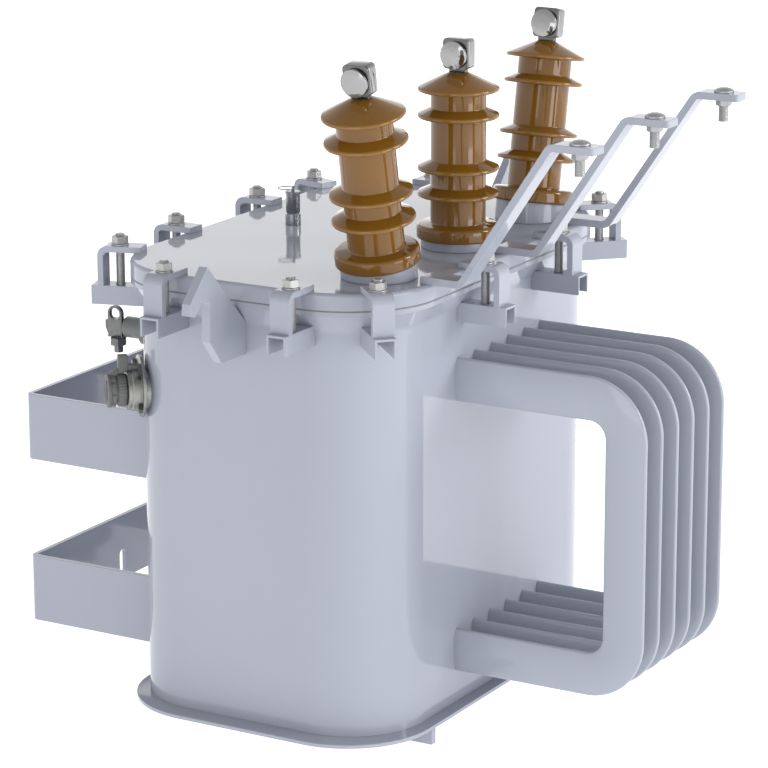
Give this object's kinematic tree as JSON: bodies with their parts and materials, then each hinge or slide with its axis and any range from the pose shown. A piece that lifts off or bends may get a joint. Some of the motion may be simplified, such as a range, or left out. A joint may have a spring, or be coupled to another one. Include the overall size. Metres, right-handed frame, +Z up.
{
  "type": "distribution transformer",
  "caption": "Pole-mounted distribution transformer: oil tank with a clamped cover, porcelain bushings, bent cooling tubes, arrester arms and pole brackets.",
  "frame": {"origin": "on the ground under the middle of the tank, at the underside of the foot rails", "axes": "+Z up, +X along the row of high-voltage bushings, +Y towards the pole side with the low-voltage bushings"},
  "size_m": [0.864, 0.8685, 0.8784],
  "materials": {
    "tank_paint": "glossy light grey enamel",
    "gasket": "matte black nitrile sheet",
    "porcelain": "glossy golden-brown glaze",
    "zinc": "dull zinc plate",
    "tinned_brass": "matte tin plate",
    "dark_metal": "dull dark grey metal",
    "valve_metal": "dark plated brass",
    "lv_resin": "dark grey cast resin",
    "tap_metal": "grey die-cast metal",
    "tap_knob": "dark grey moulded plastic",
    "core_steel": "oiled silicon steel laminations",
    "winding_paper": "oil-soaked kraft paper",
    "lead_paper": "crepe paper over copper",
    "pressboard": "oil-soaked pressboard"
  },
  "bodies": {
    "transformer": {"foot_rail_left": "tank_paint", "foot_rail_right": "tank_paint", "bottom_plate": "tank_paint", "tank_shell": "tank_paint", "cover_gasket": "gasket", "cover": "tank_paint", "clamp_channels": "tank_paint", "cover_clamps": "tank_paint", "clamp_bolts": "zinc", "clamp_washers": "zinc", "clamp_nuts": "zinc", "cooling_tube_1": "tank_paint", "cooling_tube_2": "tank_paint", "cooling_tube_3": "tank_paint", "cooling_tube_4": "tank_paint", "cooling_tube_5": "tank_paint", "cooling_tube_6": "tank_paint", "pole_bracket_lower": "tank_paint", "pole_bracket_upper": "tank_paint", "lifting_lug_left": "tank_paint", "lifting_lug_right": "tank_paint", "hv_seat_1": "tank_paint", "hv_seat_2": "tank_paint", "hv_seat_3": "tank_paint", "hv_insulator_1": "porcelain", "hv_insulator_2": "porcelain", "hv_insulator_3": "porcelain", "hv_terminal_1": "tinned_brass", "hv_terminal_2": "tinned_brass", "hv_terminal_3": "tinned_brass", "hv_pressure_plates": "dark_metal", "hv_clamp_bolts": "tinned_brass", "arrester_bracket_1": "tank_paint", "arrester_bracket_2": "tank_paint", "arrester_bracket_3": "tank_paint", "arrester_bolts": "zinc", "arrester_nuts": "zinc", "relief_valve_body": "valve_metal", "relief_valve_cap": "valve_metal", "lv_insulator_1": "lv_resin", "lv_insulator_2": "lv_resin", "lv_insulator_3": "lv_resin", "lv_insulator_4": "lv_resin", "lv_terminals": "dark_metal", "lv_eye_bolts": "dark_metal", "lv_nuts": "dark_metal", "tap_changer_seat": "tank_paint", "tap_changer_housing": "tap_metal", "tap_changer_bolts": "dark_metal", "tap_switch": "pressboard", "core": "core_steel", "core_clamps": "dark_metal", "core_tie_bolts": "dark_metal", "lv_windings": "winding_paper", "hv_windings": "winding_paper", "hv_leads": "lead_paper", "lv_leads": "lead_paper"},
    "tap_knob": {"tap_changer_knob": "tap_knob"},
    "valve_pull": {"relief_valve_pin": "valve_metal", "relief_valve_ring": "valve_metal"}
  },
  "joints": [
    {"name": "tap_selector", "type": "hinge", "parent": "transformer", "child": "tap_knob", "pos_m": [-0.29516, 0.19512, 0.434], "axis": [-0.682, 0.7314, 0], "range_deg": [0, 120]},
    {"name": "relief_pull", "type": "slide", "parent": "transformer", "child": "valve_pull", "axis": [0, 0, 1], "range_m": [0, 0.006], "stiffness_N_per_m": 400}
  ]
}
